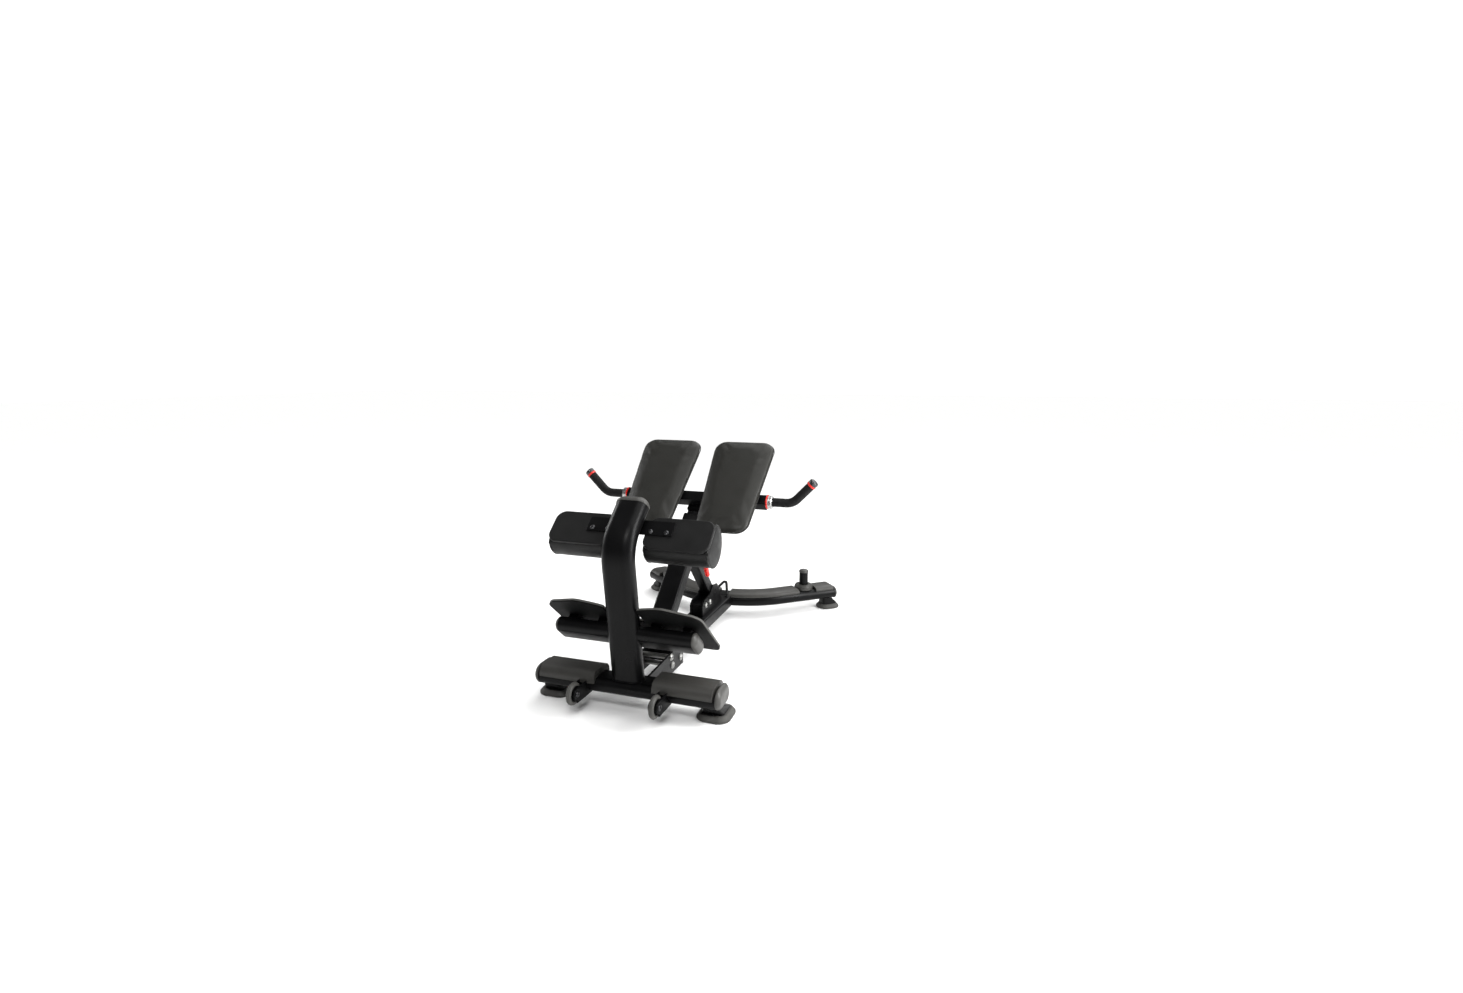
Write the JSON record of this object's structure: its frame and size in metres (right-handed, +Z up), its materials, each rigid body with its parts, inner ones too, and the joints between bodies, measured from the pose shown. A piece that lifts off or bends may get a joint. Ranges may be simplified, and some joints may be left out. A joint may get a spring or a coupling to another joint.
{
  "type": "roman chair",
  "caption": "45-degree back-extension bench: sliding hip pads with handles, ankle rolls on an oval upright, sloped foot plate, oval-tube frame, transport wheels.",
  "frame": {"origin": "middle of the footprint, on the floor", "axes": "+X to the user's right, +Y the way the user faces (towards the hip pads), +Z up"},
  "size_m": [0.976, 1.4018, 0.8065],
  "materials": {
    "frame_paint": "fine-textured black powder coat",
    "grey_plastic": "warm dark grey, satin moulded",
    "grey_rubber": "warm grey, moulded",
    "black_plastic": "satin moulded",
    "tyre_rubber": "grey, slightly scuffed",
    "zinc_steel": "zinc plated",
    "plated_steel": "black zinc",
    "nylon": "natural nylon",
    "pad_vinyl": "warm near-black upholstery vinyl, fine grain",
    "plywood": "plain",
    "foam_grip": "matte foam",
    "aluminium": "machined",
    "red_plastic": "gloss"
  },
  "bodies": {
    "frame": {"rear_crossbar": "frame_paint", "rear_cover_left": "grey_plastic", "rear_cover_right": "grey_plastic", "rear_end_caps": "grey_plastic", "rubber_feet": "grey_rubber", "foot_brackets": "frame_paint", "upright": "frame_paint", "upright_cap": "grey_plastic", "wheel_forks": "frame_paint", "wheel_axles": "zinc_steel", "foot_plate": "frame_paint", "foot_tread": "grey_rubber", "foot_bar": "frame_paint", "foot_bar_caps": "grey_plastic", "ankle_bracket": "frame_paint", "ankle_boards": "plywood", "ankle_pad_left": "pad_vinyl", "ankle_pad_right": "pad_vinyl", "rear_bracket": "frame_paint", "bracket_spacers": "zinc_steel", "frame_bolts_m12": "zinc_steel", "frame_bolts_m8": "zinc_steel", "spine": "frame_paint", "seat_post": "frame_paint", "post_plug": "black_plastic", "post_gussets": "frame_paint", "post_collar": "black_plastic", "seat_strut": "frame_paint", "strut_bracket": "frame_paint", "lock_housing": "black_plastic", "lock_spring": "zinc_steel", "lever_pivot": "zinc_steel", "front_crossbar": "frame_paint", "front_cover": "grey_plastic", "front_end_caps": "grey_plastic", "band_pegs": "frame_paint", "peg_flanges": "grey_plastic", "peg_caps": "grey_plastic", "lift_loop": "frame_paint"},
    "carriage": {"slide_post": "plated_steel", "slide_glide": "nylon", "pad_beam": "frame_paint", "pad_boards": "plywood", "thigh_pad_left": "pad_vinyl", "thigh_pad_right": "pad_vinyl", "pad_bolts": "zinc_steel", "handle_tubes": "frame_paint", "handle_grips": "foam_grip", "handle_collars": "aluminium", "handle_rings": "red_plastic", "handle_caps": "aluminium"},
    "lock_pin": {"lock_pin": "zinc_steel"},
    "lever": {"lock_lever": "plated_steel", "lever_grip": "red_plastic"},
    "wheel_left": {"hub_left": "black_plastic", "tyre_left": "tyre_rubber"},
    "wheel_right": {"hub_right": "black_plastic", "tyre_right": "tyre_rubber"}
  },
  "joints": [
    {"name": "pad_height", "type": "slide", "parent": "frame", "child": "carriage", "axis": [0, 0.7431, 0.6691], "range_m": [0, 0.15]},
    {"name": "lever_pull", "type": "hinge", "parent": "frame", "child": "lever", "pos_m": [0.045, 0.01695, 0.3766], "axis": [-1, 0, 0], "range_deg": [0, 14], "stiffness_Nm_per_rad": 1.5, "springref_deg": -8.59},
    {"name": "pin_travel", "type": "slide", "parent": "frame", "child": "lock_pin", "axis": [0, 0.6691, -0.7431], "range_m": [0, 0.0115], "stiffness_N_per_m": 300, "springref_m": -0.01, "deforming": ["lock_spring"]},
    {"name": "wheel_left_spin", "type": "hinge", "parent": "frame", "child": "wheel_left", "pos_m": [-0.143, -0.6634, 0.076], "axis": [1, 0, 0], "continuous": true},
    {"name": "wheel_right_spin", "type": "hinge", "parent": "frame", "child": "wheel_right", "pos_m": [0.143, -0.6634, 0.076], "axis": [1, 0, 0], "continuous": true}
  ],
  "couplings": [
    {"joint": "pin_travel", "follows": "lever_pull", "m_per_rad": 0.046}
  ]
}
